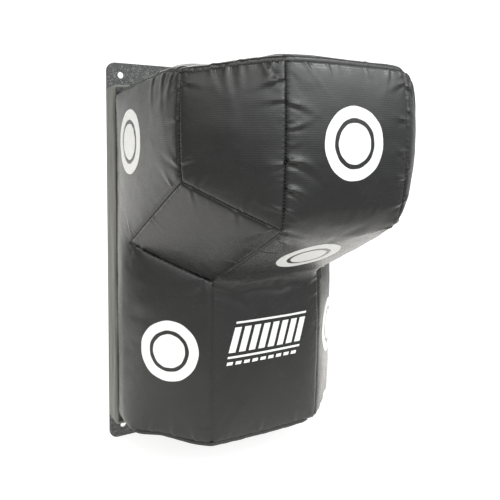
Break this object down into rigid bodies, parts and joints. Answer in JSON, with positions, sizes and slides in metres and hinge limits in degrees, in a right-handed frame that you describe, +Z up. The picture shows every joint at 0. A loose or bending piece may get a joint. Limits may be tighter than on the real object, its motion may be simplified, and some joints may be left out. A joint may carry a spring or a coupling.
{
  "type": "wall mounted uppercut bag",
  "caption": "Wall mounted padded striking bag with a deep upper body, a sloping underside for uppercuts and a slim lower body, on a shallow backing box and a flat steel plate.",
  "frame": {"origin": "centre of the mounting plate's rear face, on the wall plane", "axes": "+Z up, +Y into the wall, so the bag reaches out towards -Y; +X to the right when facing the wall"},
  "size_m": [0.49, 0.4814, 0.8],
  "materials": {
    "plate_paint": "dark grey hammered powder coat",
    "zinc_steel": "zinc plated",
    "timber": "sawn softwood",
    "plywood": "sanded plywood",
    "box_vinyl": "grey-green coated fabric, satin",
    "foam": "open cell foam",
    "dense_foam": "closed cell foam",
    "cover_vinyl": "black ripstop-backed vinyl, satin",
    "binding_tape": "woven tape",
    "white_print": "white screen print",
    "zip_tape": "woven tape",
    "zip_plastic": "moulded",
    "zip_metal": "die cast, nickel plated"
  },
  "bodies": {
    "bag": {"bottom_seam_binding": "binding_tape", "cover_bottom": "cover_vinyl", "cover_center_band": "cover_vinyl", "cover_rear": "cover_vinyl", "cover_shelf_left": "cover_vinyl", "cover_shelf_right": "cover_vinyl", "cover_side_left": "cover_vinyl", "cover_side_right": "cover_vinyl", "cover_top": "cover_vinyl", "cover_upper_chamfer_left": "cover_vinyl", "cover_upper_chamfer_right": "cover_vinyl", "foam_core_lower": "foam", "foam_core_upper": "foam", "frame_panel": "plywood", "frame_panel_screws": "zinc_steel", "frame_rail_bottom": "timber", "frame_rail_middle": "timber", "frame_rail_top": "timber", "frame_stile_left": "timber", "frame_stile_right": "timber", "frame_wrap": "box_vinyl", "front_print": "white_print", "mounting_plate": "plate_paint", "pad_board": "plywood", "pad_bolts": "zinc_steel", "pad_washers": "zinc_steel", "plate_screws": "zinc_steel", "strike_layer_lower": "dense_foam", "strike_layer_shelf_front": "dense_foam", "strike_layer_shelf_left": "dense_foam", "strike_layer_shelf_right": "dense_foam", "strike_layer_side_left": "dense_foam", "strike_layer_side_right": "dense_foam", "strike_layer_upper": "dense_foam", "target_lower_left": "white_print", "target_lower_right": "white_print", "target_shelf": "white_print", "target_side_left": "white_print", "target_side_right": "white_print", "target_upper_front": "white_print", "tee_nuts": "zinc_steel", "wrap_staples": "zinc_steel", "zip_chain": "zip_plastic", "zip_stops": "zip_plastic", "zip_tape_front": "zip_tape", "zip_tape_rear": "zip_tape"},
    "zip_slider": {"zip_slider": "zip_metal"},
    "zip_pull": {"zip_pull_tab": "zip_metal"}
  },
  "joints": [
    {"name": "zip_slide", "type": "slide", "parent": "bag", "child": "zip_slider", "axis": [1, 0, 0], "range_m": [0, 0.38]},
    {"name": "zip_pull_hinge", "type": "hinge", "parent": "zip_slider", "child": "zip_pull", "pos_m": [-0.19, -0.09982, -0.33308], "axis": [0, -0.9979, -0.0655], "range_deg": [-85, 85]}
  ]
}
